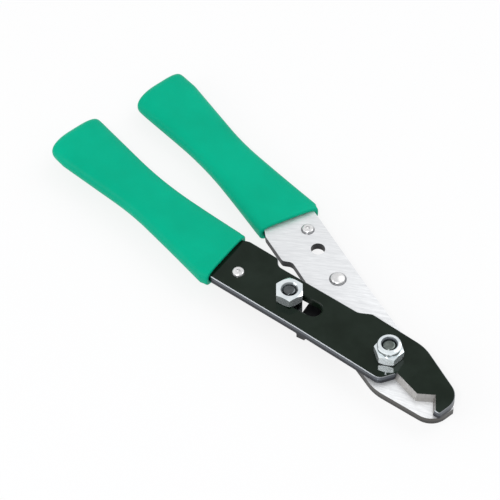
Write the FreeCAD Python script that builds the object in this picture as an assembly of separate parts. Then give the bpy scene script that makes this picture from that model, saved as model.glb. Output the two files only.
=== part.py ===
"""Adjustable wire stripper and cutter: two crossed flat levers on one pivot, with dipped grips.

Millimetres.  +X runs to the nose, +Z is up, and the tool lies flat with the upper lever's handle on the
-Y side.  The origin is the centre of the tool's box, on the surface that it lies on.
"""

import FreeCAD
import Part

import math
import os

from FreeCAD import Vector

# ---- driving dimensions ------------------------------------------------------------------------------

LEVER_THICKNESS = 2.4
FACE_GAP = 0.05            # between flat faces that slide on each other
SHAFT_GAP = 0.05           # radial, between a shank and the hole that turns on it

THREAD_RADIUS = 2.0        # M4 fasteners
HEX_FLATS = 7.0
PIVOT_HEAD_HEIGHT = 2.8
PIVOT_HEX_HEIGHT = 3.0     # hexagonal part of the lock nut
PIVOT_NUT_HEIGHT = 5.0
COLLAR_RADIUS = 3.25
COLLAR_LIP_RADIUS = 2.25
COLLAR_WALL = 0.45
COLLAR_HEIGHT = 2.6        # how far the collar reaches down over the hexagon's chamfer
COLLAR_ROLL = 0.65         # radius of the rolled-in top edge
INSERT_HEIGHT = 1.3
INSERT_DEPTH = 0.5         # the insert's top face below the nut's top
STOP_HEAD_HEIGHT = 2.3
STOP_NUT_HEIGHT = 3.2
PIVOT_END_DEPTH = 0.6      # the bolts' ends below the tops of their nuts
STOP_END_DEPTH = 0.3
STOP_NUT_ANGLE = 19.0      # turn of the stop's hexagons about +Z
PIVOT_NUT_ANGLE = 36.0
CHAMFER_CIRCLE = 0.475     # radius of a hexagon's turned face, as a share of its flats
CHAMFER_SLOPE = 30.0
THREAD_LEAD = 0.4          # chamfer at a bolt's end
NUT_LEAD = 0.35            # countersink at a nut's mouths

PUNCHED_CHAMFER = 0.18     # broken edges of the levers' handles and noses
SLOT_CHAMFER = 0.3
BEVEL_REACH = 0.6          # how far the ground jaw edge slopes back from the cutting plane
GRIP_THICKNESS = 5.8
GRIP_ROUNDING = 2.3

LATCH_THICKNESS = 0.9
LATCH_HALF_WIDTH = 3.6
LATCH_LENGTH = 20.6        # rivet centre to the outside of the upturned lug
LATCH_LUG_WIDTH = 2.2
LATCH_ANGLE = -70.5        # its direction at rest, from +X
LATCH_CORNER = 3.0
LATCH_TAPER = 2.2          # length over which the bar narrows to the lug
LATCH_BEND = 0.8           # outer radius of the lug's bend
LUG_CLEARANCE = 0.15       # between the lug's top and the upper lever

SMALL_RIVET_RADIUS = 1.65
SMALL_RIVET_SHANK = 1.0
SMALL_RIVET_HEAD = 0.75    # height of its head
SMALL_RIVET_DIMPLE = 0.5
SMALL_RIVET_TAIL = 0.6
DOME_RADIUS = 2.15
DOME_HEIGHT = 1.1
DOME_SHANK = 1.25
DOME_TAIL = 0.75
DOME_STEPS = 7

# places in the lever plane, measured from the pivot
PIVOT = (0.0, 0.0)
STOP = (-31.4, -7.0)
SLOT_END = (-24.2, -4.9)
SLOT_BEYOND_STOP = 1.0     # slot travel left on the handle side of the stop
SLOT_HALF_WIDTH = 2.4
UPPER_RIVET = (-46.35, -12.1)
LOWER_RIVET = (-46.9, 13.2)
HANG_HOLE = (-40.0, 10.8)
HANG_HOLE_RADIUS = 1.95
LATCH_PIVOT = (-28.8, 8.0)

# outline of a lever, as corners (x, y, rounding radius)
TANG = [
    (-66.0, -5.9, 40.0), (-84.0, -8.6, 40.0), (-113.0, -8.0, 4.0),
    (-113.0, -21.4, 4.0), (-82.0, -17.9, 60.0), (-53.4, -18.0, 1.0),
]
HANDLE_EDGE = [(-50.4, -18.7, 2.2), (-22.2, -12.4, 60.0), (3.9, -7.15, 2.6)]
CUTTING_EDGE = [(5.6, -2.2), (13.9, -2.75), (17.3, 0.6), (20.7, -2.6)]
JAW_CLEAR_Y = -12.0        # well outside the jaw, on the side that the cutting edge faces
NOSE = [(22.25, -2.8, 0.7), (22.25, 4.75, 5.5), (4.3, 9.05, 12.0), (-12.7, 5.85, 2.0)]
INNER_EDGE = [
    (-15.6, 3.3, 2.5), (-41.0, -2.5, 2.0), (-43.1, -0.8, 1.2),
    (-52.4, -2.8, 2.0), (-55.2, -4.6, 0.8),
]

# outline of a grip: its far end (x from the very end), then its mouth, then the waist of its inner edge
GRIP_END = [(0.15, -6.1, 3.6), (0.0, -13.5, 20.0), (0.6, -24.8, 7.0)]
GRIP_END_MIDDLE = 15.0     # the slant turns the end about this distance from the X axis
GRIP_END_HALF = 9.3
GRIP_OUTER_WAIST = (-82.0, -20.2, 80.0)
GRIP_MOUTH = [(-50.0, -20.9, 1.7), (-54.6, -2.6, 1.4)]
GRIP_INNER_WAIST = (-84.0, -7.15, 110.0)
# the two sleeves differ a little: x of the far end, its slant, and shift of the mouth
UPPER_GRIP_REACH = (-115.5, 0.0, 0.0)
LOWER_GRIP_REACH = (-114.8, 0.3, -0.2)

GRIP_MOUTH_X = -54.0       # the sleeves start about here

# heights, from the surface that the tool lies on
LOWER_BOTTOM = PIVOT_HEAD_HEIGHT
LOWER_TOP = LOWER_BOTTOM + LEVER_THICKNESS
UPPER_BOTTOM = LOWER_TOP + FACE_GAP
UPPER_TOP = UPPER_BOTTOM + LEVER_THICKNESS
MATING_PLANE = 0.5 * (LOWER_TOP + UPPER_BOTTOM)
LATCH_TOP = LOWER_BOTTOM - FACE_GAP
LATCH_BOTTOM = LATCH_TOP - LATCH_THICKNESS
LATCH_LUG_TOP = UPPER_BOTTOM - LUG_CLEARANCE
PIVOT_NUT_TOP = UPPER_TOP + PIVOT_NUT_HEIGHT
PIVOT_BOLT_END = PIVOT_NUT_TOP - PIVOT_END_DEPTH
STOP_BOLT_END = UPPER_TOP + STOP_NUT_HEIGHT - STOP_END_DEPTH
INSERT_TOP = PIVOT_NUT_TOP - INSERT_DEPTH
INSERT_BOTTOM = INSERT_TOP - INSERT_HEIGHT

# the pivot sits this far along +X from the centre of the tool's box
PIVOT_X = 0.5 * (-UPPER_GRIP_REACH[0] - max(x for x, _, _ in NOSE))

Z_AXIS = Vector(0, 0, 1)


# ---- helpers -----------------------------------------------------------------------------------------

def rounded_outline(corners, z):
    """Closed wire of straight runs, with a tangent arc at each corner (x, y, radius)."""
    runs = []
    count = len(corners)
    for i, (x, y, radius) in enumerate(corners):
        here = Vector(x, y, z)
        back = (Vector(*corners[i - 1][:2], z) - here).normalize()
        ahead = (Vector(*corners[(i + 1) % count][:2], z) - here).normalize()
        if radius == 0:
            runs.append((here, None, here))
            continue
        half = 0.5 * back.getAngle(ahead)
        reach = radius / math.tan(half)
        middle = (back + ahead).normalize() * (radius / math.sin(half) - radius)
        runs.append((here + back * reach, here + middle, here + ahead * reach))
    edges = []
    for i, (start, middle, end) in enumerate(runs):
        if middle is not None:
            edges.append(Part.Arc(start, middle, end).toShape())
        following = runs[(i + 1) % count][0]
        if end.distanceToPoint(following) > 1e-6:
            edges.append(Part.LineSegment(end, following).toShape())
    return Part.Wire(edges)


def plate(corners, bottom, thickness):
    return Part.Face(rounded_outline(corners, bottom)).extrude(Vector(0, 0, thickness))


def cylinder(centre, radius, bottom, top):
    return Part.makeCylinder(radius, top - bottom, Vector(centre[0], centre[1], bottom))


def turned(centre, profile):
    """Solid of revolution about the vertical line through centre; profile is (radius, height) points."""
    points = [Vector(radius, 0, height) for radius, height in profile]
    wire = Part.makePolygon(points + points[:1])
    solid = Part.Face(wire).revolve(Vector(0, 0, 0), Z_AXIS, 360)
    solid.translate(Vector(centre[0], centre[1], 0))
    return solid


def hexagon(centre, flats, bottom, top, angle, chamfer_top=True, chamfer_bottom=False):
    """Hexagonal prism whose corners are turned down to a cone, as on a nut or a bolt head."""
    corner = flats / math.sqrt(3)
    points = []
    for i in range(6):
        turn = math.radians(angle + 60 * i)
        x = centre[0] + corner * math.cos(turn)
        y = centre[1] + corner * math.sin(turn)
        points.append(Vector(x, y, bottom))
    prism = Part.Face(Part.makePolygon(points + points[:1])).extrude(Vector(0, 0, top - bottom))
    flat_radius = CHAMFER_CIRCLE * flats
    drop = (corner - flat_radius) * math.tan(math.radians(CHAMFER_SLOPE))
    profile = [(0, bottom)]
    profile += [(flat_radius, bottom), (corner, bottom + drop)] if chamfer_bottom else [(corner, bottom)]
    profile += [(corner, top - drop), (flat_radius, top)] if chamfer_top else [(corner, top)]
    profile += [(0, top)]
    return prism.common(turned(centre, profile))


def threaded_bore(centre, radius, bottom, top):
    """The space a nut's bore takes up, with its countersunk mouths."""
    wide = radius + NUT_LEAD
    return turned(centre, [
        (0, bottom), (wide, bottom), (radius, bottom + NUT_LEAD),
        (radius, top - NUT_LEAD), (wide, top), (0, top),
    ])


def shank(centre, radius, bottom, top):
    """A bolt's shank, with its end chamfered."""
    return turned(centre, [
        (0, bottom), (radius, bottom), (radius, top - THREAD_LEAD), (radius - THREAD_LEAD, top), (0, top),
    ])


def turn_over(shape):
    """Turn a blank over about the X axis in the mating plane, which makes the other lever of the pair."""
    copy = shape.copy()
    copy.rotate(Vector(0, 0, MATING_PLANE), Vector(1, 0, 0), 180)
    return copy


def placed(shape):
    copy = shape.copy()
    copy.translate(Vector(PIVOT_X, 0, 0))
    return copy


# ---- levers ------------------------------------------------------------------------------------------

def offset_cutting_edge(reach):
    """The jaw's cutting edge moved out of the metal by reach, with its corners kept sharp."""
    directions = []
    for (x0, y0), (x1, y1) in zip(CUTTING_EDGE, CUTTING_EDGE[1:]):
        length = math.hypot(x1 - x0, y1 - y0)
        directions.append(((x1 - x0) / length, (y1 - y0) / length))
    directions = [directions[0]] + directions + [directions[-1]]
    moved = []
    for (x, y), (ux, uy), (vx, vy) in zip(CUTTING_EDGE, directions, directions[1:]):
        nx, ny = uy + vy, -ux - vx
        scale = reach / (nx * vy - ny * vx)
        moved.append((x + nx * scale, y + ny * scale))
    return moved


def ground_bevel():
    """What grinding takes off the jaw: it slopes back from the cutting edge in the mating plane."""
    outlines = []
    for reach, z in ((BEVEL_REACH, UPPER_BOTTOM), (0.0, UPPER_TOP)):
        edge = offset_cutting_edge(reach)
        closed = [(edge[0][0], JAW_CLEAR_Y)] + edge + [(edge[-1][0], JAW_CLEAR_Y)]
        outlines.append(Part.makePolygon([Vector(x, y, z) for x, y in closed + closed[:1]]))
    return Part.makeLoft(outlines, True, True)


def lever_blank():
    """The lever's outline with its outer face's edges broken, and the jaw's edge ground back."""
    cutting = [(x, y, 0) for x, y in offset_cutting_edge(BEVEL_REACH)]
    corners = TANG + HANDLE_EDGE + cutting + NOSE + INNER_EDGE
    blank = plate(corners, UPPER_BOTTOM, LEVER_THICKNESS)
    jaw_start = CUTTING_EDGE[0][0] - 4.0
    rim = [edge for edge in blank.Edges
           if edge.BoundBox.ZMin > UPPER_TOP - 1e-3
           and (edge.BoundBox.XMax < jaw_start or edge.BoundBox.YMin > 0.0)
           and edge.BoundBox.XMin > GRIP_MOUTH_X]
    return blank.makeChamfer(PUNCHED_CHAMFER, rim).cut(ground_bevel())


def slot_direction():
    length = math.hypot(STOP[0] - SLOT_END[0], STOP[1] - SLOT_END[1])
    return (STOP[0] - SLOT_END[0]) / length, (STOP[1] - SLOT_END[1]) / length, length


def slot_cutter():
    ux, uy, length = slot_direction()
    far_end = (SLOT_END[0] + ux * (length + SLOT_BEYOND_STOP), SLOT_END[1] + uy * (length + SLOT_BEYOND_STOP))
    nx, ny = -uy * SLOT_HALF_WIDTH, ux * SLOT_HALF_WIDTH
    sides = [
        (SLOT_END[0] + nx, SLOT_END[1] + ny), (far_end[0] + nx, far_end[1] + ny),
        (far_end[0] - nx, far_end[1] - ny), (SLOT_END[0] - nx, SLOT_END[1] - ny),
    ]
    points = [Vector(x, y, UPPER_BOTTOM) for x, y in sides]
    middle = Part.Face(Part.makePolygon(points + points[:1])).extrude(Vector(0, 0, LEVER_THICKNESS))
    ends = [cylinder(centre, SLOT_HALF_WIDTH, UPPER_BOTTOM, UPPER_TOP) for centre in (SLOT_END, far_end)]
    return middle.fuse(ends).removeSplitter()


def slotted(lever):
    """The lever with its slot cut and the slot's upper rim broken."""
    lever = lever.cut(slot_cutter())
    reach = SLOT_HALF_WIDTH + 0.1
    low_x = STOP[0] - SLOT_BEYOND_STOP - reach
    high_x = SLOT_END[0] + reach
    rim = [edge for edge in lever.Edges
           if edge.BoundBox.ZMin > UPPER_TOP - 1e-3
           and edge.BoundBox.XMin > low_x and edge.BoundBox.XMax < high_x
           and edge.BoundBox.YMin > STOP[1] - reach - 0.5 and edge.BoundBox.YMax < SLOT_END[1] + reach]
    return lever.makeChamfer(SLOT_CHAMFER, rim)


def drilled(lever, holes, bottom, top):
    for centre, radius in holes:
        lever = lever.cut(cylinder(centre, radius, bottom, top))
    return lever


def upper_lever():
    holes = [(PIVOT, THREAD_RADIUS + SHAFT_GAP), (UPPER_RIVET, SMALL_RIVET_SHANK)]
    return slotted(drilled(lever_blank(), holes, UPPER_BOTTOM, UPPER_TOP))


def lower_lever():
    holes = [
        (PIVOT, THREAD_RADIUS + SHAFT_GAP), (LOWER_RIVET, SMALL_RIVET_SHANK),
        (HANG_HOLE, HANG_HOLE_RADIUS), (LATCH_PIVOT, DOME_SHANK),
    ]
    return drilled(turn_over(lever_blank()), holes, LOWER_BOTTOM, LOWER_TOP)


# ---- grips -------------------------------------------------------------------------------------------

def grip(lever, reach):
    """Sleeve, closed at its far end, that fits the tang of the upper lever's blank."""
    end_x, slant, shift = reach
    corners = []
    for x, y, radius in GRIP_END:
        corners.append((end_x + x + slant * (y + GRIP_END_MIDDLE) / GRIP_END_HALF, y, radius))
    corners.append(GRIP_OUTER_WAIST)
    corners += [(x + shift, y, radius) for x, y, radius in GRIP_MOUTH] + [GRIP_INNER_WAIST]
    bottom = 0.5 * (UPPER_BOTTOM + UPPER_TOP) - 0.5 * GRIP_THICKNESS
    body = plate(corners, bottom, GRIP_THICKNESS)
    long_edges = [edge for edge in body.Edges if edge.BoundBox.ZLength < 1e-6]
    return body.makeFillet(GRIP_ROUNDING, long_edges).cut(lever)


# ---- fasteners ---------------------------------------------------------------------------------------

def pivot_bolt():
    head = hexagon(PIVOT, HEX_FLATS, 0.0, LOWER_BOTTOM, PIVOT_NUT_ANGLE,
                   chamfer_top=False, chamfer_bottom=True)
    return head.fuse(shank(PIVOT, THREAD_RADIUS, LOWER_BOTTOM - 0.5, PIVOT_BOLT_END)).removeSplitter()


def pivot_lock_nut():
    """Hexagon below, and above it the round collar that is rolled in over the nylon insert."""
    hexagonal = hexagon(PIVOT, HEX_FLATS, UPPER_TOP, UPPER_TOP + PIVOT_HEX_HEIGHT, PIVOT_NUT_ANGLE)
    top = PIVOT_NUT_TOP
    shoulder = top - COLLAR_HEIGHT
    roll = COLLAR_ROLL
    collar = turned(PIVOT, [
        (0, shoulder), (COLLAR_RADIUS, shoulder), (COLLAR_RADIUS, top - roll),
        (COLLAR_RADIUS - 0.3 * roll, top - 0.3 * roll), (COLLAR_RADIUS - roll, top),
        (COLLAR_LIP_RADIUS, top), (0, top),
    ])
    nut = hexagonal.fuse(collar).removeSplitter()
    nut = nut.cut(cylinder(PIVOT, COLLAR_LIP_RADIUS, INSERT_TOP, top))
    nut = nut.cut(cylinder(PIVOT, COLLAR_RADIUS - COLLAR_WALL, INSERT_BOTTOM, INSERT_TOP))
    return nut.cut(cylinder(PIVOT, THREAD_RADIUS, UPPER_TOP, top))


def nylon_insert():
    ring = cylinder(PIVOT, COLLAR_RADIUS - COLLAR_WALL, INSERT_BOTTOM, INSERT_TOP)
    return ring.cut(cylinder(PIVOT, THREAD_RADIUS, INSERT_BOTTOM, INSERT_TOP))


def stop_bolt():
    """The head hangs in the lower lever's plane, where that lever's inner edge meets it."""
    head = hexagon(STOP, HEX_FLATS, UPPER_BOTTOM - STOP_HEAD_HEIGHT, UPPER_BOTTOM, STOP_NUT_ANGLE,
                   chamfer_top=False, chamfer_bottom=True)
    return head.fuse(shank(STOP, THREAD_RADIUS, UPPER_BOTTOM - 0.5, STOP_BOLT_END)).removeSplitter()


def stop_nut():
    bottom = UPPER_TOP + FACE_GAP
    nut = hexagon(STOP, HEX_FLATS, bottom, bottom + STOP_NUT_HEIGHT, STOP_NUT_ANGLE, chamfer_bottom=True)
    return nut.cut(threaded_bore(STOP, THREAD_RADIUS + SHAFT_GAP, bottom, bottom + STOP_NUT_HEIGHT))


# ---- rivets and latch --------------------------------------------------------------------------------

def small_rivet(centre, bottom, top):
    """Round-edged head with a dimple on top, and a clinched tail below."""
    radius = SMALL_RIVET_RADIUS
    shaft = SMALL_RIVET_SHANK
    head = SMALL_RIVET_HEAD
    dimple = SMALL_RIVET_DIMPLE
    tail = SMALL_RIVET_TAIL
    tail_radius = shaft + 0.75 * tail
    return turned(centre, [
        (0, bottom - tail), (tail_radius - 0.5 * tail, bottom - tail), (tail_radius, bottom - 0.5 * tail),
        (tail_radius, bottom), (shaft, bottom), (shaft, top), (radius, top), (radius, top + 0.45 * head),
        (radius - 0.15 * head, top + 0.75 * head), (radius - 0.5 * head, top + head),
        (dimple + 0.15 * head, top + head), (dimple, top + 0.7 * head), (0, top + 0.6 * head),
    ])


def latch_rivet():
    """Domed head on the lower lever's top face; the tail below the latch keeps it on."""
    tail_top = LATCH_BOTTOM - FACE_GAP
    tail_bottom = tail_top - DOME_TAIL
    tail_radius = DOME_SHANK + DOME_TAIL
    profile = [
        (0, tail_bottom), (tail_radius - 0.4 * DOME_TAIL, tail_bottom),
        (tail_radius, tail_bottom + 0.4 * DOME_TAIL),
        (tail_radius, tail_top), (DOME_SHANK, tail_top), (DOME_SHANK, LOWER_TOP),
    ]
    for i in range(DOME_STEPS):
        turn = 0.5 * math.pi * i / DOME_STEPS
        profile.append((DOME_RADIUS * math.cos(turn), LOWER_TOP + DOME_HEIGHT * math.sin(turn)))
    profile.append((0, LOWER_TOP + DOME_HEIGHT))
    return turned(LATCH_PIVOT, profile)


def latch():
    """Flat bar under the lower lever, with an upturned lug that hooks the stop bolt's head."""
    half = LATCH_HALF_WIDTH
    lug = 0.5 * LATCH_LUG_WIDTH
    shoulder = LATCH_LENGTH - LATCH_TAPER
    bend_start = LATCH_LENGTH - LATCH_THICKNESS
    bar = plate([
        (-half, -half, LATCH_CORNER), (shoulder, -half, LATCH_CORNER), (bend_start, -lug, 0),
        (bend_start, lug, 0), (shoulder, half, LATCH_CORNER), (-half, half, LATCH_CORNER),
    ], LATCH_BOTTOM, LATCH_THICKNESS)
    upright = Part.makeBox(LATCH_THICKNESS, LATCH_LUG_WIDTH, LATCH_LUG_TOP - LATCH_BOTTOM,
                           Vector(bend_start, -lug, LATCH_BOTTOM))
    bend = [edge for edge in upright.Edges
            if edge.BoundBox.XMin > LATCH_LENGTH - 1e-3 and edge.BoundBox.ZMax < LATCH_BOTTOM + 1e-3]
    arm = bar.fuse(upright.makeFillet(LATCH_BEND, bend)).removeSplitter()
    arm = arm.cut(cylinder(PIVOT, DOME_SHANK + SHAFT_GAP, LATCH_BOTTOM, LATCH_TOP))
    arm.rotate(Vector(0, 0, 0), Z_AXIS, LATCH_ANGLE)
    arm.translate(Vector(LATCH_PIVOT[0], LATCH_PIVOT[1], 0))
    return arm


# ---- the whole tool ----------------------------------------------------------------------------------

def build():
    upper = upper_lever()
    lower = lower_lever()
    return {
        "upper_lever": upper,
        "lower_lever": lower,
        "upper_grip": grip(lever_blank(), UPPER_GRIP_REACH),
        "lower_grip": turn_over(grip(lever_blank(), LOWER_GRIP_REACH)),
        "pivot_bolt": pivot_bolt(),
        "pivot_lock_nut": pivot_lock_nut(),
        "nylon_insert": nylon_insert(),
        "stop_bolt": stop_bolt(),
        "stop_nut": stop_nut(),
        "upper_rivet": small_rivet(UPPER_RIVET, UPPER_BOTTOM, UPPER_TOP),
        "lower_rivet": small_rivet(LOWER_RIVET, LOWER_BOTTOM, LOWER_TOP),
        "latch_rivet": latch_rivet(),
        "latch": latch(),
    }


os.makedirs("parts", exist_ok=True)
for name, shape in build().items():
    if not shape.isValid() or len(shape.Solids) != 1:
        raise SystemExit(name + " is not one valid solid")
    placed(shape).exportStep("parts/" + name + ".step")
    print(name, round(shape.Volume, 1))
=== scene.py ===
import math

import bmesh
import bpy
from mathutils import Matrix, Vector
from mathutils.bvhtree import BVHTree


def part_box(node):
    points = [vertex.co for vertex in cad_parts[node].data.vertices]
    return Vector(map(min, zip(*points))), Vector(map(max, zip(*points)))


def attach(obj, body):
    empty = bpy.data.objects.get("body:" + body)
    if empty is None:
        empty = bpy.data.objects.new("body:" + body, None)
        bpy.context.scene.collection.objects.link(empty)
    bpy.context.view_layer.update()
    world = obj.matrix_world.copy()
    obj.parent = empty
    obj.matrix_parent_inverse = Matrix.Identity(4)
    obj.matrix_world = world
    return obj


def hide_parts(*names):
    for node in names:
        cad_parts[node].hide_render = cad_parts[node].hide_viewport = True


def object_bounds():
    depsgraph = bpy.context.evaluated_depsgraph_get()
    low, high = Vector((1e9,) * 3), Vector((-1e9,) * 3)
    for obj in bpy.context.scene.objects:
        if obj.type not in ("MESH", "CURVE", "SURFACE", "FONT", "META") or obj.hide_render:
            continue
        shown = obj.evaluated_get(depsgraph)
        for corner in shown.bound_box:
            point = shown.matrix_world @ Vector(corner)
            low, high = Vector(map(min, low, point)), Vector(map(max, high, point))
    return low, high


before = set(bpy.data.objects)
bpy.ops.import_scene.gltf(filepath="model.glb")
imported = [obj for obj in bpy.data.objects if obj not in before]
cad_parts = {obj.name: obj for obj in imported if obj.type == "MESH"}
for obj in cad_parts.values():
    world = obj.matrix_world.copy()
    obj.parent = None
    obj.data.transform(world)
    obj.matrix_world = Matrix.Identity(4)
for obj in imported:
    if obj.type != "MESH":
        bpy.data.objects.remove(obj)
cad_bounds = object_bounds()
PIVOT = 0.5 * (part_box("pivot_bolt")[0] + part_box("pivot_bolt")[1])


# ---- camera, floor and light -------------------------------------------------------------------------

VIEW_HEADING = math.radians(49.54)    # how far the picture's right turns from +X
VIEW_DROP = math.radians(51.15)       # how far the camera looks down
VIEW_DISTANCE = 0.7
LENS = 186.47
LOOK_AT = Vector((-0.005155, -0.00331, 0.005))
CLIP_START = 0.01

FLOOR_SIDE = 3.0                      # half of its width
FLOOR_Z = -0.0001
PAPER = (0.13, 0.13, 0.132, 1)
PAPER_GLOW = 0.82                     # its own light, which keeps it near white under soft shadows
PAPER_ROUGHNESS = 0.95

WHITE = (1, 1, 1, 1)
WORLD_STRENGTH = 0.84
# name, place, aim, size, power
LIGHTS = [
    ("key", (0.15, 0.75, 0.9), (0, 0, 0), 0.9, 4.6),
    ("front_fill", (-0.25, -0.8, 0.35), (0, 0, 0), 0.5, 2.3),
    # mirrored by the front facets of the nuts and the ends of the bolts
    ("front_soft", (0.31, -0.50, 0.77), PIVOT, 0.13, 2.1),
]


def add_object(name, data):
    obj = bpy.data.objects.new(name, data)
    bpy.context.scene.collection.objects.link(obj)
    return obj


def make_camera():
    right = Vector((math.cos(VIEW_HEADING), math.sin(VIEW_HEADING), 0))
    away = Vector((-math.sin(VIEW_HEADING), math.cos(VIEW_HEADING), 0))
    forward = away * math.cos(VIEW_DROP) - Vector((0, 0, math.sin(VIEW_DROP)))
    up = right.cross(forward)
    data = bpy.data.cameras.new("camera")
    data.lens = LENS
    data.clip_start = CLIP_START
    camera = add_object("camera", data)
    turn = Matrix((right, up, -forward)).transposed().to_4x4()
    camera.matrix_world = Matrix.Translation(LOOK_AT - forward * VIEW_DISTANCE) @ turn
    bpy.context.scene.camera = camera


def make_floor():
    quarters = ((-1, -1), (1, -1), (1, 1), (-1, 1))
    corners = [(x * FLOOR_SIDE, y * FLOOR_SIDE, FLOOR_Z) for x, y in quarters]
    mesh = bpy.data.meshes.new("floor")
    mesh.from_pydata(corners, [], [(0, 1, 2, 3)])
    floor = add_object("floor", mesh)
    material = bpy.data.materials.new("floor_paper")
    material.use_nodes = True
    paper = material.node_tree.nodes["Principled BSDF"]
    paper.inputs["Base Color"].default_value = PAPER
    paper.inputs["Emission Color"].default_value = WHITE
    paper.inputs["Emission Strength"].default_value = PAPER_GLOW
    paper.inputs["Roughness"].default_value = PAPER_ROUGHNESS
    paper.inputs["Specular IOR Level"].default_value = 0.0
    mesh.materials.append(material)


def area_light(name, place, aim, size, power):
    data = bpy.data.lights.new(name, "AREA")
    data.shape = "SQUARE"
    data.size = size
    data.energy = power
    light = add_object(name, data)
    light.location = place
    light.rotation_euler = (Vector(aim) - Vector(place)).to_track_quat("-Z", "Y").to_euler()


def make_lights():
    world = bpy.data.worlds.new("studio")
    world.use_nodes = True
    background = world.node_tree.nodes["Background"]
    background.inputs["Color"].default_value = WHITE
    background.inputs["Strength"].default_value = WORLD_STRENGTH
    bpy.context.scene.world = world
    for light in LIGHTS:
        area_light(*light)
    bpy.context.scene.view_settings.view_transform = "Standard"


# ---- shader building ---------------------------------------------------------------------------------

NOISE_RANGE = (0.3, 0.7)               # where most of a noise texture's values lie
WALL_FACING = (0.93, 0.72)             # |z| of the normal, from a flat face to an edge wall


class Look:
    """One procedural material.

    Its texture space is the CAD frame in metres, so a noise of scale 1000 has cells about 1 mm wide.
    """

    def __init__(self, name):
        self.material = bpy.data.materials.new(name)
        self.material.use_nodes = True
        self.tree = self.material.node_tree
        self.shader = self.tree.nodes["Principled BSDF"]
        coordinates = self.tree.nodes.new("ShaderNodeTexCoord")
        self.place = coordinates.outputs["Object"]
        self.split = self.add("ShaderNodeSeparateXYZ", {0: self.place})
        facing = self.add("ShaderNodeSeparateXYZ", {0: coordinates.outputs["Normal"]})
        self.facing_z = facing.outputs[2]

    def add(self, kind, inputs, **settings):
        node = self.tree.nodes.new(kind)
        for key, value in settings.items():
            setattr(node, key, value)
        for key, value in inputs.items():
            if isinstance(value, bpy.types.NodeSocket):
                self.tree.links.new(value, node.inputs[key])
            else:
                node.inputs[key].default_value = value
        return node

    def math(self, operation, *values):
        return self.add("ShaderNodeMath", dict(enumerate(values)), operation=operation).outputs[0]

    def fit(self, value, low, high, new_low=0.0, new_high=1.0):
        inputs = {0: value, 1: low, 2: high, 3: new_low, 4: new_high}
        return self.add("ShaderNodeMapRange", inputs, interpolation_type="SMOOTHSTEP").outputs[0]

    def spread(self, noise, new_low=0.0, new_high=1.0):
        return self.fit(noise, *NOISE_RANGE, new_low, new_high)

    def noise(self, scale, detail=4.0, roughness=0.55, vector=None):
        inputs = {"Vector": vector or self.place, "Scale": scale, "Detail": detail, "Roughness": roughness}
        return self.add("ShaderNodeTexNoise", inputs).outputs["Fac"]

    def stretched(self, scale_x, scale_y, scale_z, turn=0.0):
        mapping = {"Vector": self.place, "Scale": (scale_x, scale_y, scale_z), "Rotation": (0, 0, turn)}
        return self.add("ShaderNodeMapping", mapping).outputs[0]

    def mix(self, factor, first, second):
        node = self.add("ShaderNodeMix", {}, data_type="RGBA")
        for socket, value in ((node.inputs[0], factor), (node.inputs[6], first), (node.inputs[7], second)):
            if isinstance(value, bpy.types.NodeSocket):
                self.tree.links.new(value, socket)
            else:
                socket.default_value = (*value, 1) if isinstance(value, tuple) else value
        return node.outputs[2]

    def bump(self, *layers):
        """Sets the shader's normal; each layer is (height socket, depth in metres)."""
        normal = None
        for height, depth in layers:
            inputs = {"Height": height, "Distance": depth, "Strength": 1.0}
            if normal:
                inputs["Normal"] = normal
            normal = self.add("ShaderNodeBump", inputs).outputs[0]
        self.set("Normal", normal)

    def set(self, key, value):
        if isinstance(value, bpy.types.NodeSocket):
            self.tree.links.new(value, self.shader.inputs[key])
        else:
            socket = self.shader.inputs[key]
            socket.default_value = (*value, 1) if socket.type == "RGBA" else value

    def wall(self):
        """1 on the edge walls, 0 on the flat faces."""
        return self.fit(self.math("ABSOLUTE", self.facing_z), *WALL_FACING)


# ---- materials ---------------------------------------------------------------------------------------

# two colours are the two ends of a noise; a punched wall's are its burnished band, then its torn one
OXIDE_FACE = ((0.002, 0.007, 0.003), (0.007, 0.014, 0.009))
OXIDE_WALL = ((0.105, 0.115, 0.13), (0.04, 0.043, 0.05))
OXIDE_RIM = (0.26, 0.275, 0.29)
GROUND_BEVEL = ((0.38, 0.36, 0.34), (0.62, 0.60, 0.57))
GROUND_FACE = ((0.71, 0.725, 0.74), (0.93, 0.94, 0.955))
GROUND_BROAD = (0.62, 0.63, 0.65)      # half of it shows in the broad streaks
GROUND_DULL = (0.55, 0.56, 0.575)      # and 35% of this one towards the handle
JAW_WALL = ((0.085, 0.082, 0.078), (0.05, 0.049, 0.047))
# near black: painted shade on the ground lever's punched wall towards the handle, by the step under the
# black lever
HANDLE_WALL = ((0.022, 0.023, 0.025), (0.012, 0.012, 0.013))
# painted shade round the foot of each rivet on the ground lever
RIVET_SHADE = (0.10, 0.10, 0.11)
VINYL = ((0.0, 0.316, 0.186), (0.0, 0.348, 0.208))
NYLON = ((0.05, 0.06, 0.07), (0.08, 0.09, 0.10))
LATCH_BLACK = ((0.008, 0.008, 0.009), (0.018, 0.019, 0.020))
ZINC = ((0.72, 0.78, 0.81), (0.82, 0.88, 0.90))
RIVET = ((0.70, 0.70, 0.71), (0.80, 0.80, 0.80))
PIVOT_STEEL = ((0.13, 0.15, 0.14), (0.18, 0.205, 0.195))
STOP_STEEL = ((0.08, 0.09, 0.095), (0.13, 0.145, 0.15))
# colour of the painted shade in creases
CREASE = (0.10, 0.11, 0.115)
# colour of the painted shadow round a nut's foot
FOOT_SHADE = (0.03, 0.032, 0.034)
# roughness at the two ends of a noise
ZINC_ROUGH = (0.11, 0.17)
BOLT_ROUGH = (0.16, 0.26)
RIVET_ROUGH = (0.22, 0.30)

GRINDING_CENTRE = (0.13, -0.13, 0.0)
DULL_TO_BRIGHT = (-0.045, -0.005)      # along X from the pivot, on the ground face
HANDLE_TO_JAW = (-0.006, 0.006)        # and on its punched wall, from near-black painted shade towards the handle to the jaw's colour
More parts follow.
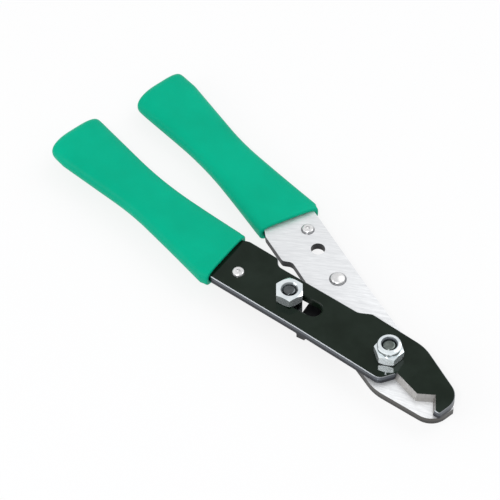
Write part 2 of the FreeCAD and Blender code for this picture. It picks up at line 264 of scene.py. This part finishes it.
# z of the normal, where each begins and where it is full
BEVEL_FACING = (0.15, 0.3)
RIM_FACING = (0.55, 0.66)
CREASE_FACING = (0.2, 0.4)
TIP_FACING = (0.5, 0.7)
RIVET_SHADE_WIDTH = 0.00042    # of the ring of painted shade round a rivet
RIVET_SHADE_RAGGED = 0.00016   # how far its edge strays
THREAD_PITCH = 0.0007      # of an M4 bolt
THREAD_DEPTH = 0.00018
TIP_RADIUS = 0.0021        # where the rounding of a bolt's tip ends
TIP_FLAT = 0.0012          # and where it starts
TIP_DROP = 0.00045
FLAT_RADIUS = 0.0035       # of an M4 nut, from its axis to the middle of a flat
FOOT_HEIGHT = 0.00022      # of the painted shadow line round a nut's foot, at the middle of a flat
FOOT_SLOPE = 0.8           # and how fast it rises towards the corners
FOOT_SOFT = 0.00006        # half of the line's soft edge
SLOT_MIDDLE = Vector((-0.02828, -0.00609, 0))      # from the pivot
SLOT_ANGLE = math.radians(16.3)
SLOT_LONG = 0.0071         # half axes of the coated ellipse
SLOT_WIDE = 0.0035
# (radius, half width, strength) of the darker rings of painted shade in a piece's creases
STOP_NUT_CREASES = [(0.00215, 0.00022, 0.8)]
SMALL_RIVET_CREASES = [(0.0005, 0.00017, 0.4), (0.00158, 0.0001, 0.7)]
DOME_CREASES = [(0.00203, 0.00015, 0.8)]


def arc_grain(look, across, along):
    """Fine streaks in wide arcs, as a grinding cup leaves them: across per metre, along per radian."""
    offset = look.add("ShaderNodeVectorMath", {0: look.place, 1: GRINDING_CENTRE},
                      operation="SUBTRACT").outputs[0]
    split = look.add("ShaderNodeSeparateXYZ", {0: offset})
    radius = look.math("SQRT", look.math("ADD", look.math("POWER", split.outputs[0], 2.0),
                                         look.math("POWER", split.outputs[1], 2.0)))
    angle = look.math("ARCTAN2", split.outputs[1], split.outputs[0])
    place = look.add("ShaderNodeCombineXYZ", {0: look.math("MULTIPLY", radius, across),
                                              1: look.math("MULTIPLY", angle, along)}).outputs[0]
    return look.noise(1.0, detail=5.0, roughness=0.6, vector=place)


def axis_distance(look, node):
    """Distance from a round or hexagonal node's upright axis."""
    low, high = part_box(node)
    middle = 0.5 * (low + high)
    flat = look.add("ShaderNodeVectorMath", {0: look.place, 1: (1, 1, 0)}, operation="MULTIPLY").outputs[0]
    return look.add("ShaderNodeVectorMath", {0: flat, 1: (middle.x, middle.y, 0)},
                    operation="DISTANCE").outputs["Value"]


def rivet_shade_ring(look, node):
    """1 on a rivet's head and in a narrow ring of painted shade round its foot, fading to 0."""
    low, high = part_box(node)
    radius = 0.5 * (high.x - low.x)
    ragged = look.math("MULTIPLY", look.noise(1500.0, detail=2.0), RIVET_SHADE_RAGGED)
    distance = look.math("ADD", axis_distance(look, node), ragged)
    return look.fit(distance, radius + RIVET_SHADE_WIDTH, radius + 0.3 * RIVET_SHADE_WIDTH)


def slot_area(look):
    """1 over the stop's slot, whose walls are coated, and 0 over the rest of the lever."""
    offset = look.add("ShaderNodeVectorMath", {0: look.place, 1: PIVOT + SLOT_MIDDLE}, operation="SUBTRACT")
    turned = look.add("ShaderNodeVectorRotate", {"Vector": offset.outputs[0], "Angle": -SLOT_ANGLE},
                      rotation_type="Z_AXIS").outputs[0]
    scaled = look.add("ShaderNodeVectorMath", {0: turned, 1: (1 / SLOT_LONG, 1 / SLOT_WIDE, 0)},
                      operation="MULTIPLY").outputs[0]
    reach = look.add("ShaderNodeVectorMath", {0: scaled}, operation="LENGTH").outputs["Value"]
    return look.fit(reach, 1.1, 1.0)


def along_lever(look, places):
    """0 to 1 between two places along X from the pivot."""
    start, end = places
    return look.fit(look.split.outputs[0], PIVOT.x + start, PIVOT.x + end)


def punched_wall(look, lowest, highest, smooth, torn):
    """Colour of a punched edge: a burnished band above and a duller torn band below, met raggedly."""
    height = look.fit(look.split.outputs[2], lowest, highest)
    ragged = look.noise(900.0, detail=3.0)
    share = look.fit(look.math("ADD", height, look.math("MULTIPLY", ragged, 0.25)), 0.52, 0.68)
    return look.mix(share, torn, smooth)


def black_lever():
    look = Look("black_oxide")
    low, high = (corner.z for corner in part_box("upper_lever"))
    wall = look.wall()
    bevel = look.math("MULTIPLY", wall, look.fit(look.facing_z, *BEVEL_FACING))
    cloud = look.noise(120.0, detail=6.0)
    face = look.mix(look.fit(cloud, 0.3, 0.75), *OXIDE_FACE)
    punched = punched_wall(look, low, high, *OXIDE_WALL)
    grain = look.noise(1.0, detail=4.0, vector=look.stretched(2600, 2600, 120))
    ground = look.mix(grain, *GROUND_BEVEL)
    edge = look.mix(bevel, punched, ground)
    rim = look.fit(look.facing_z, *RIM_FACING)
    edge = look.mix(rim, edge, OXIDE_RIM)
    painted = slot_area(look)
    bare = look.math("MULTIPLY", wall, look.math("SUBTRACT", 1.0, painted))
    look.set("Base Color", look.mix(bare, face, edge))
    look.set("Metallic", bare)
    scuff = look.noise(1.0, detail=5.0, vector=look.stretched(1600, 90, 90, 0.5))
    smooth = look.fit(cloud, 0.2, 0.8, 0.05, 0.11)
    rough = look.math("ADD", smooth, look.fit(scuff, 0.62, 0.75, 0.0, 0.08))
    look.set("Roughness", look.math("MAXIMUM", rough, look.math("MULTIPLY", wall, 0.36)))
    look.set("Specular IOR Level", 0.20)
    look.bump((look.noise(350.0, detail=2.0), 0.000003), (look.math("MULTIPLY", grain, wall), 0.000003))
    return look.material


def ground_lever():
    look = Look("ground_steel")
    low, high = (corner.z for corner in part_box("lower_lever"))
    wall = look.wall()
    grain = arc_grain(look, 9000.0, 55.0)
    broad = arc_grain(look, 1500.0, 18.0)
    face = look.mix(look.spread(grain), *GROUND_FACE)
    face = look.mix(look.fit(broad, 0.35, 0.62), look.mix(0.5, face, GROUND_BROAD), face)
    toward_jaw = along_lever(look, DULL_TO_BRIGHT)
    face = look.mix(toward_jaw, look.mix(0.35, face, GROUND_DULL), face)
    jaw_side = punched_wall(look, low, high, *JAW_WALL)
    # painted shade: the walls towards the handle are near black
    dark = punched_wall(look, low, high, *HANDLE_WALL)
    punched = look.mix(along_lever(look, HANDLE_TO_JAW), dark, jaw_side)
    # painted shade in a narrow ring round each rivet's foot
    for rivet in ("lower_rivet", "latch_rivet"):
        face = look.mix(rivet_shade_ring(look, rivet), face, RIVET_SHADE)
    look.set("Base Color", look.mix(wall, face, punched))
    look.set("Metallic", 0.6)
    streaks = look.spread(grain, 0.34, 0.42)
    look.set("Roughness", look.math("ADD", streaks, look.math("MULTIPLY", wall, 0.05)))
    look.bump((grain, 0.0000015), (broad, 0.000002))
    return look.material


def grip_vinyl():
    look = Look("dipped_vinyl")
    cloud = look.noise(60.0, detail=3.0)
    look.set("Base Color", look.mix(look.spread(cloud), *VINYL))
    look.set("Roughness", look.spread(look.noise(400.0, detail=4.0), 0.30, 0.38))
    look.set("IOR", 1.30)
    look.set("Specular IOR Level", 0.13)
    look.set("Subsurface Weight", 0.06)
    look.set("Subsurface Radius", (0.0004, 0.0016, 0.0010))
    look.bump((look.noise(30.0, detail=2.0), 0.00012), (look.noise(1400.0, detail=3.0), 0.000006))
    return look.material


def painted_foot_shadow(look, node, colour):
    """Painted shadow as a dark line round the foot of a nut, deeper at its corners, where the lower chamfer
    leaves a gap.
    """
    past_flat = look.math("SUBTRACT", axis_distance(look, node), FLAT_RADIUS)
    top = look.math("ADD", look.math("MULTIPLY", past_flat, FOOT_SLOPE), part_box(node)[0].z + FOOT_HEIGHT)
    above = look.math("SUBTRACT", look.split.outputs[2], top)
    return look.mix(look.fit(above, FOOT_SOFT, -FOOT_SOFT), colour, FOOT_SHADE)


def plated(name, colours, rough, metallic=1.0, rings=None, foot=None, bolt=None):
    """Bright plate with a faint mottle.

    rings is a node and the list of its creases, which get rings of painted shade. foot is the nut that gets
    a painted shadow line round its foot.
    bolt is the one that gets threads round its shank and a rounded tip.
    """
    look = Look(name)
    mottle = look.noise(500.0, detail=4.0)
    colour = look.mix(look.spread(mottle), *colours)
    if rings:
        node, creases = rings
        # painted shade: darker rings in the creases, on the upward faces only
        distance = axis_distance(look, node)
        upward = look.fit(look.facing_z, *CREASE_FACING)
        for radius, half_width, strength in creases:
            off = look.math("ABSOLUTE", look.math("SUBTRACT", distance, radius))
            ring = look.math("MULTIPLY", look.fit(off, half_width, 0.3 * half_width), upward)
            colour = look.mix(look.math("MULTIPLY", ring, strength), colour, CREASE)
    if foot:
        colour = painted_foot_shadow(look, foot, colour)
    look.set("Base Color", colour)
    look.set("Metallic", metallic)
    look.set("Roughness", look.spread(mottle, *rough))
    layers = [(look.noise(1500.0, detail=3.0), 0.0000005)]
    if bolt:
        turns = look.math("MULTIPLY", look.split.outputs[2], 2 * math.pi / THREAD_PITCH)
        crest = look.math("MULTIPLY", look.math("SINE", turns), look.wall())
        layers.append((crest, THREAD_DEPTH))
        dome = look.fit(axis_distance(look, bolt), TIP_RADIUS, TIP_FLAT)
        layers.append((look.math("MULTIPLY", dome, look.fit(look.facing_z, *TIP_FACING)), TIP_DROP))
    look.bump(*layers)
    return look.material


def plain_nylon():
    look = Look("nylon")
    look.set("Base Color", look.mix(look.noise(300.0), *NYLON))
    look.set("Roughness", 0.42)
    look.bump((look.noise(900.0), 0.00001))
    return look.material


def latch_black():
    look = Look("latch_black")
    cloud = look.noise(200.0, detail=5.0)
    look.set("Base Color", look.mix(look.fit(cloud, 0.35, 0.7), *LATCH_BLACK))
    look.set("Specular IOR Level", 0.3)
    look.set("Roughness", look.spread(cloud, 0.34, 0.48))
    look.bump((look.noise(700.0), 0.000012))
    return look.material


def zinc(name, rings=None, foot=None):
    return plated(name, ZINC, ZINC_ROUGH, metallic=0.80, rings=rings, foot=foot)


def rivet_plate(node, creases):
    return plated(node + "_plate", RIVET, RIVET_ROUGH, metallic=0.85, rings=(node, creases))


# the lock nut gets a painted shadow round its foot
LOCK_NUT = zinc("zinc_lock_nut", foot="pivot_lock_nut")
STOP_NUT = zinc("zinc_stop_nut", rings=("stop_nut", STOP_NUT_CREASES))
PIVOT_PLATE = plated("pivot_plate", PIVOT_STEEL, BOLT_ROUGH, bolt="pivot_bolt")
STOP_PLATE = plated("bolt_steel", STOP_STEEL, BOLT_ROUGH, bolt="stop_bolt")
GRIP = grip_vinyl()
NODE_LOOK = {
    "upper_lever": black_lever(), "lower_lever": ground_lever(), "upper_grip": GRIP, "lower_grip": GRIP,
    "pivot_bolt": PIVOT_PLATE, "stop_bolt": STOP_PLATE, "pivot_lock_nut": LOCK_NUT, "stop_nut": STOP_NUT,
    "nylon_insert": plain_nylon(), "latch": latch_black(),
    "upper_rivet": rivet_plate("upper_rivet", SMALL_RIVET_CREASES),
    "lower_rivet": rivet_plate("lower_rivet", SMALL_RIVET_CREASES),
    "latch_rivet": rivet_plate("latch_rivet", DOME_CREASES),
}


def dress_nodes():
    for name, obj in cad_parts.items():
        obj.data.materials.clear()
        obj.data.materials.append(NODE_LOOK[name])


# ---- grips -------------------------------------------------------------------------------------------

GRIP_STATIONS = 96
GRIP_SECTION = 64          # points round one section
RAY_START = 0.03           # outside the grip, from where its sides are felt
SIDE_POWER = 4.4           # squareness of the section across its width
CROWN_POWER = 2.3          # and of its height, along the grip
MOUTH_CROWN_POWER = 3.6    # at the mouth, where the sleeve is boxier
MOUTH_SHARE = 0.3          # part of the length over which the section changes
MOUTH_SLANT = 0.251        # the mouth's lean, along X for each unit of Y
SLANT_FADE = 1.5           # power by which that lean dies away towards the end
FIRST_STATION = 0.0010     # the first full section, back from the mouth's plane
MOUTH_MIDDLE = (0.0016, 0.01175)   # back from the grip's foremost point, and out from the X axis
END_ROLL = 0.0030          # length over which the closed end rounds off in height
END_SPAN = 0.0078          # and over which it rounds off in plan
END_EXTRA = 0.0005         # the sleeve's end may stand this far past its node, inside the tool's box
END_CAP = 0.00006          # the last section, short of the end
END_ARC = 0.025            # radius of the end in plan
END_POWER = 8.0            # tightness of the corners between that arc and the sides
FLARE_BASE = 0.004         # length before the end that sets how the sides run into it
UPPER_CREST = 0.0140       # a closed end's foremost point, out from the X axis
LOWER_CREST = 0.0167
# the lip, from the skin round to the tang: distance out of the mouth's plane, inset across, inset up
LIP = [
    (-0.0004, 0.0, 0.0), (-0.0001, 0.00012, 0.00012), (0.0, 0.0004, 0.0004), (-0.00005, 0.0010, 0.0010),
    (-0.0003, 0.0014, 0.0014), (-0.0020, 0.0016, 0.00155),
]


def side_reach(tree, centre, across, way):
    """Distance from centre to the grip's side, which a ray from outside meets."""
    _, _, _, distance = tree.ray_cast(centre + across * RAY_START * way, -across * way)
    return RAY_START - distance


def end_reach(tree, centre, across, way, limit, left):
    """Reach near the closed end: the side runs straight on to a rounded corner with the end's arc."""
    start = centre + Vector((END_SPAN - left, 0, 0))
    before = start + Vector((FLARE_BASE, 0, 0))
    at_start = side_reach(tree, start, across, way)
    flare = (at_start - side_reach(tree, before, across, way)) / FLARE_BASE
    straight = min(at_start + flare * (END_SPAN - left), limit)
    arc = math.sqrt(left * (2 * END_ARC - left))
    return straight * arc / (straight ** END_POWER + arc ** END_POWER) ** (1 / END_POWER)


def section_ring(centre, across, near, far, half_height, crown=MOUTH_CROWN_POWER):
    """Points round a crowned section that reaches near and far across from centre."""
    ring = []
    middle = 0.5 * (far - near)
    half = 0.5 * (far + near)
    for i in range(GRIP_SECTION):
        turn = 2 * math.pi * i / GRIP_SECTION
        u = math.copysign(abs(math.cos(turn)) ** (2 / SIDE_POWER), math.cos(turn))
        v = math.copysign(abs(math.sin(turn)) ** (2 / crown), math.sin(turn))
        ring.append(centre + across * (middle + half * u) + Vector((0, 0, half_height * v)))
    return ring


def grip_rings(node, side, crest):
    """Sections of a sleeve, from inside its lip to its closed end."""
    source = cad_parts[node].data
    tree = BVHTree.FromPolygons([v.co for v in source.vertices], [p.vertices for p in source.polygons])
    low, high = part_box(node)
    half_height = 0.5 * (high.z - low.z)
    mid_z = 0.5 * (high.z + low.z)
    mouth = Vector((high.x - MOUTH_MIDDLE[0], side * MOUTH_MIDDLE[1], mid_z))
    tip_x = max(cad_bounds[0].x, low.x - END_EXTRA)
    end = Vector((tip_x + END_CAP, side * crest, mid_z))
    mouth_across = Vector((side * MOUTH_SLANT, 1, 0)).normalized()
    outwards = mouth_across.cross(Vector((0, 0, 1)))
    first = mouth - outwards * FIRST_STATION
    near = side_reach(tree, first, mouth_across, -1)
    far = side_reach(tree, first, mouth_across, 1)
    rings = []
    for out, inset, drop in reversed(LIP):
        centre = mouth + outwards * out
        rings.append(section_ring(centre, mouth_across, near - inset, far - inset, half_height - drop))
    for i in range(GRIP_STATIONS + 1):
        share = math.sin(0.5 * math.pi * i / GRIP_STATIONS)
        centre = first.lerp(end, share)
        across = Vector((side * MOUTH_SLANT * (1 - share) ** SLANT_FADE, 1, 0)).normalized()
        left = centre.x - tip_x
        roll = math.sqrt(1 - (1 - min(1.0, left / END_ROLL)) ** 2)
        if left > END_SPAN:
            reach = [side_reach(tree, centre, across, way) for way in (-1, 1)]
        else:
            limits = ((-1, centre.y - low.y), (1, high.y - centre.y))
            reach = [end_reach(tree, centre, across, way, limit, left) for way, limit in limits]
        boxy = max(0.0, 1 - share / MOUTH_SHARE)
        crown = CROWN_POWER + (MOUTH_CROWN_POWER - CROWN_POWER) * boxy * boxy
        rings.append(section_ring(centre, across, *reach, half_height * roll, crown))
    return rings


def skin(name, rings):
    """Closed smooth mesh through rings of points, capped at both ends."""
    points = [p for ring in rings for p in ring]
    faces = []
    for i in range(len(rings) - 1):
        for j in range(GRIP_SECTION):
            k = (j + 1) % GRIP_SECTION
            faces.append((i * GRIP_SECTION + j, i * GRIP_SECTION + k,
                          (i + 1) * GRIP_SECTION + k, (i + 1) * GRIP_SECTION + j))
    faces.append(tuple(range(GRIP_SECTION)))
    faces.append(tuple(range((len(rings) - 1) * GRIP_SECTION, len(rings) * GRIP_SECTION)))
    mesh = bpy.data.meshes.new(name)
    mesh.from_pydata(points, [], faces)
    shape = bmesh.new()
    shape.from_mesh(mesh)
    bmesh.ops.recalc_face_normals(shape, faces=shape.faces)
    shape.to_mesh(mesh)
    shape.free()
    mesh.polygons.foreach_set("use_smooth", [True] * len(mesh.polygons))
    return mesh


def make_grip(node, body, side, crest):
    """Dipped sleeve: crowned section, rounded closed end, and a soft lip round the tang."""
    mesh = skin(node + "_sleeve", grip_rings(node, side, crest))
    mesh.materials.append(GRIP)
    piece = add_object(node + "_sleeve", mesh)
    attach(piece, body)
    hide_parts(node)


make_camera()
make_floor()
make_lights()
dress_nodes()
make_grip("upper_grip", "upper_half", -1, UPPER_CREST)
make_grip("lower_grip", "lower_half", 1, LOWER_CREST)
